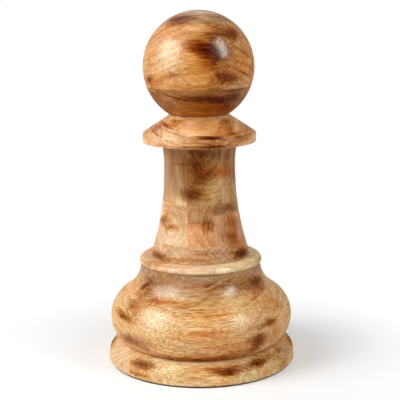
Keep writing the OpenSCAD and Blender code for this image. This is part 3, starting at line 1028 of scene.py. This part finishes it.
wood_on("neck_upper_left", "pinkish block", "c49f7f", "b48d6b", neck_marks, pinkish_patches,
        pith=(-60, 20, 0), lean=upright, ring=3, ripple=0.3, line_depth=0.15, pore=(14, 0.8),
        pore_depth=0.15)
wood_on("neck_upper_middle", "figured block", "cba577", "9c6f36", neck_marks, figured_patches,
        pith=(5, 0, 184), lean=end_on, ring=1.6, sway=6, ripple=1.0, ring_depth=0.3, line_depth=0.12,
        pore_depth=0.1)
wood_on("neck_upper_right_low", "olive block", "dfc29c", "c89e6f", neck_marks,
        pith=(90, 0, 0), lean=upright, ring=2.5, ripple=0.3)
wood_on("neck_upper_right_top", "striped block", "deb392", "b38353", neck_marks,
        pith=(70, 20, 0), lean=upright, ring=2, ripple=0.3)
wood_on("neck_lower_left", "cream block", "faddba", "e2bc98", neck_marks,
        pith=(-26, 0, 122), lean=end_on, ring=1.8, sway=6, ripple=1.0, ring_depth=0.14, line_depth=0.12,
        pore_depth=0.1)
wood_on("neck_lower_middle", "orange block", "ffd1a5", "f3b488", neck_marks,
        pith=(30, 40, 0), lean=upright, ring=3.5, ripple=0.3, pore=(5, 0.9))
wood_on("neck_lower_right", "rosy block", "e2b18b", "d59f78", neck_marks,
        pith=(100, 30, 0), lean=upright, ring=4, ripple=0.4, line_depth=0.1, pore_depth=0.12)
wood_on("neck_band_middle", "grey-brown block", "d6ac82", "c89b70", neck_marks,
        pith=(0, 60, 0), lean=upright, ring=3, ripple=0.3, line_depth=0.15, pore_depth=0.15)
wood_on("neck_band_right", "dark block", "c39d7a", "ae8663", neck_marks,
        pith=(0, 40, 200), ring=3, ripple=0.3, line_depth=0.12, pore_depth=0.12)
wood_on("neck_bottom", "speckled block", "f4d8bd", "dab592", neck_marks,
        pith=(0, 30, 40), ring=3, ripple=0.8, pore=(1.6, 0.9))

# %% [markdown]
# ## The base's wood
# Pale boards for the rim and the foot, and golden ones for the belly and the shoulder. Those two come from
# one plank, so they share their colours, and the shoulder turns grey-brown towards the rim. A dark ring of
# painted shade lies in the groove over the foot, where the belly's shadow falls. Some pale marks on the
# left of the belly and the shoulder, and along the foot's top edge, are painted highlights.

# %% Base marks
base_marks = marks_of(char=[
    (-58, 72, 5, 2, 0.9, 36), (60, 75.5, 11, 3.5, 0.9, -10), (54, 70.5, 11, 3.5, 0.4, -6),
    (5, 77.5, 7, 1, 0.3, 21), (3, 69, 9, 1.2, 0.2, 28), (11, 66, 9, 1.2, 0.2, 19),
    (12, 76, 14, 0.9, 0.25, 17), (24, 80.5, 13, 0.9, 0.3, 17), (57, 72, 8, 5, 0.22),
    (46, 65, 15, 0.8, 0.25, 10), (-14, 63.6, 7, 2.2, 0.24), (25, 76.5, 7, 2.5, 0.3),
    (67, 69, 6, 3, 0.24), (12, 72.5, 6, 2.5, 0.14), (-33, 76.4, 7, 3, 0.14),
    (-58, 49.5, 13, 2.5, 0.9, -4), (-54, 59, 9, 3.5, 0.4, -6), (47, 46.7, 8, 3, 0.9, 4),
    (38, 45.5, 6, 2.5, 0.3, 9), (37, 34, 9, 4.5, 0.5), (33.5, 25.3, 8, 3.8, 0.55),
    (52, 37, 7, 9, 0.2), (-47, 54, 10, 4, 0.18), (36, 72.5, 15, 5, 0.14),
    (-38, 72.5, 12, 5, 0.18), (-38, 64.5, 8, 4, 0.28), (28, 68.5, 7, 3, 0.18),
    (28, 13.5, 6, 3, 0.15), (58, 7.5, 10, 5, 0.28), (-52, 8.5, 8, 4, 0.3),
    (26, 76, 24, 5, 0.22), (53, 15, 10, 3, 0.3), (-52, 68, 12, 8, 0.35),
    (-5, 66, 24, 5, 0.18), (17, 26, 13, 5, 0.25), (-38.5, 26.5, 6, 2.5, 0.26),
    (-54, 10.3, 5, 3, 0.14), (47, 16.6, 6, 2, 0.22), (12, 14.3, 4, 2, 0.2),
    (200, 74, 26, 5, 0.2), (3, 58.3, 22, 1, 0.3), (-38.5, 14, 10.5, 3.1, 1.1, 3),
    (16.5, 12.5, 10, 3.4, 1.2), (24, 14.5, 8, 2.5, 0.2, 1), (6, 14, 5.5, 2, 0.5, -2),
    (36.5, 14.8, 10, 2.7, 1.25, 3), (60, 17, 8, 1.2, 0.4, 2), (-41, 5.5, 12, 1.5, 0.45, 3),
    (90, 14, 13, 2.8, 0.8), (100, 45, 15, 4.5, 0.6), (110, 74, 11, 4.5, 0.5, 10),
    (130, 14, 12, 2.6, 0.6), (150, 52, 18, 4, 0.6), (170, 70, 14, 4, 0.45),
    (180, 15, 14, 3, 0.9), (210, 50, 16, 4.5, 0.6, 5), (225, 13, 12, 2.8, 0.7),
    (240, 80, 12, 4, 0.5), (260, 40, 14, 5, 0.6), (270, 14, 11, 2.6, 0.8),
], plum=[
    (-51, 77.5, 16, 6, 0.4, 9), (-46, 68.5, 12, 3.5, 0.4, 6), (-52, 31.5, 12, 5, 1.2),
    (37, 36, 10, 4.5, 1.2, -4), (38, 29, 9, 4, 0.8), (-40, 32.5, 10, 5, 0.6),
    (160, 34, 12, 6, 0.7),
], rust=[
    (-29, 65.5, 26, 1.5, 0.7, 3), (60, 58.5, 9, 7, 0.6), (49.5, 57.8, 8, 4, 0.5),
    (28, 57.4, 6, 2.5, 0.25), (-51, 53, 6, 3, 0.3), (-30, 75, 14, 4, 0.3),
    (6, 79, 15, 1.2, 0.5, 16), (17, 77, 13, 1.2, 0.4, 16), (2, 43.5, 10, 2.5, 0.4),
    (0, 24.5, 26, 3, 0.45), (1, 46, 16, 2.5, 0.5), (20, 33.5, 19, 5.5, 0.5, -3),
    (-3, 14.5, 10, 1.5, 0.5), (45, 6.5, 6, 3, 0.3), (190, 44, 20, 4, 0.5),
], gold=[
    (42, 66.5, 17, 6, 0.4, -2), (21, 58, 15, 4, 0.5), (12, 7, 13, 3.5, 0.6),
    (-1, 65.5, 24, 3, 0.3), (0, 41, 50, 6, 0.4),
], honey=[
    (3, 57.5, 20, 5, 0.7), (-8, 13, 18, 4, 0.35), (30, 82, 12, 5, 0.4),
    (-38, 82, 12, 5, 0.6),
], pale=[
    # Painted highlights among these: (-31, 52) on the belly's left, (-20, 69), (-13, 66.5) and (-14, 68.5) on
    # the shoulder's left, and the thin marks at 17.5 mm along the foot's top edge. (-42, 23) is painted light
    # that lifts part of the groove's shade.
    (-23, 72, 18, 3, 0.3, 2), (4, 76, 13, 1, 0.4, 16), (-52, 84, 12, 4, 0.4),
    (-60, 62, 8, 4, 1.3), (-20, 69, 8, 3.5, 0.35), (-31, 52, 13, 10, 1.2, -2),
    (24, 49, 13, 6, 0.5, -5), (-13, 66.5, 15, 4, 0.7), (-14, 68.5, 9, 3, 0.5),
    (-20, 50, 10, 4, 0.45), (-38, 17.5, 13, 2.5, 1.1), (34, 17.5, 12, 2.5, 1.1),
    (-42, 23, 13, 3.5, 0.9), (44, 25, 8, 4, 0.6), (-58, 34, 7, 4, 0.8),
    (-62, 20.5, 8, 3.5, 0.9), (-66, 22.5, 6, 3, 0.8), (-19, 59, 5, 2.5, 0.7),
    (18, 17.8, 6, 2, 0.7), (-20, 14, 16, 6, 0.55), (-6, 4, 18, 2.2, 0.8),
    (-30, 17, 6, 2, 0.6), (55, 18.8, 5, 1.5, 0.9), (8, 7, 9, 4, 0.5),
], grey=[
    (0, 86, 400, 12, 1.7), (40, 73, 14, 4, 0.4), (68, 14, 9, 4, 1.4),
    (-28, 74, 26, 6, 0.9, -5), (150, 76, 30, 6, 0.7, 5),
], cream=[
    (-22, 30, 16, 4, 0.4), (40, 85, 14, 4, 0.5), (10, 31, 25, 4, 0.25),
    (4, 51, 50, 4.5, 0.25), (9, 8.5, 6, 2.5, 0.6), (58, 51, 7, 4, 0.4),
])
# Painted shade: a dark char ring in the groove between the belly and the foot, in front and behind.
painted_groove_shade = marks_of(char=[
    (0, 20, 48, 4, 0.6, 0, 0.3), (180, 20, 110, 4, 0.6, 0, 0.3),
])
rim_marks = marks_of(char=[
    (-62, 90, 9, 3, 0.3), (-47, 91.6, 8, 1.5, 0.2), (75, 90, 10, 3, 0.3),
    (150, 90, 12, 3, 0.3), (230, 91, 9, 3, 0.3),
], pale=[
    (12, 91, 24, 5, 0.6), (80, 92, 12, 2, 0.6), (-65, 88.6, 5, 2, 0.7),
], cream=[
    (-6, 90, 8, 1.8, 0.5),
])
print(len(base_marks + painted_groove_shade + rim_marks), "marks on the base")

# %% Base wood
wood_on("rim_left", "pale rim, left", "ffe5c3", "f3caa8", rim_marks,
        pith=(0, 60, 40), ring=6, line_depth=0.18, pore_depth=0.12)
wood_on("rim_right", "pale rim, right", "fff2cc", "ffddb5", rim_marks,
        pith=(0, -80, 30), ring=6, line_depth=0.18, pore_depth=0.12)
wood_on("shoulder", "golden shoulder", "ffebc0", "fdc79c", base_marks,
        pith=(0, 40, -80), ring=5, pore_depth=0.18)
wood_on("belly", "golden belly", "ffebc0", "fdc79c", base_marks, painted_groove_shade,
        pith=(0, 30, -140), ring=5, lacquer=0.1, pore_depth=0.4)
wood_on("foot_right_board", "cream foot, right", "fff4ca", "ffcb9d", base_marks,
        pith=(0, 50, -60), ring=5, lacquer=0.02, pore_depth=0.32)
wood_on("foot_left_board", "cream foot, left", "ffe7c9", "f5d2b2", base_marks,
        pith=(0, 20, 80), ring=5, lacquer=0.02, line_depth=0.2, pore_depth=0.15)

# %% [markdown]
# ## The dowels' wood
# Plain birch, turned by machine. Both dowels are glued inside the pawn and out of sight.

# %% Dowel wood
dowel_wood = board_wood("dowel birch", "e6cfa6", "cfae7d", pith=(0, 40, 0), lean=upright, ring=2.5)
for node in ("base_dowel", "head_dowel"):
    paint_with(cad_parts[node], dowel_wood)

# %% [markdown]
# ## The felt's cloth
# Pressed wool, a very dark brown. Its hairs are finer than a millimetre, so noise at that scale sets both
# its colour and its nap.

# %% Felt cloth
felt_dark = srgb("221a14")
felt_light = srgb("4c3d31")
felt_roughness = 0.95
hairs_to_the_metre = 2600.0
nap_depth = 0.2 * mm
nap_bump = 0.5

felt_cloth = bpy.data.materials.new("dark felt")
felt_cloth.use_nodes = True
tree = felt_cloth.node_tree
where = add(tree, "TexCoord").outputs["Object"]
hairs = add(tree, "TexNoise", {"Vector": where, "Scale": hairs_to_the_metre, "Detail": 4.0}).outputs[0]
shade = {0: span(tree, hairs, 0.35, 0.65), 6: felt_dark, 7: felt_light}
felt_colour = add(tree, "Mix", shade, data_type="RGBA")
cloth = tree.nodes["Principled BSDF"]
plug(tree, cloth.inputs["Base Color"], felt_colour.outputs[2])
cloth.inputs["Roughness"].default_value = felt_roughness
nap = add(tree, "Bump", {"Height": hairs, "Strength": nap_bump, "Distance": nap_depth})
plug(tree, cloth.inputs["Normal"], nap.outputs[0])
paint_with(pieces["felt_pad"], felt_cloth)
print("cloth", felt_cloth.name)
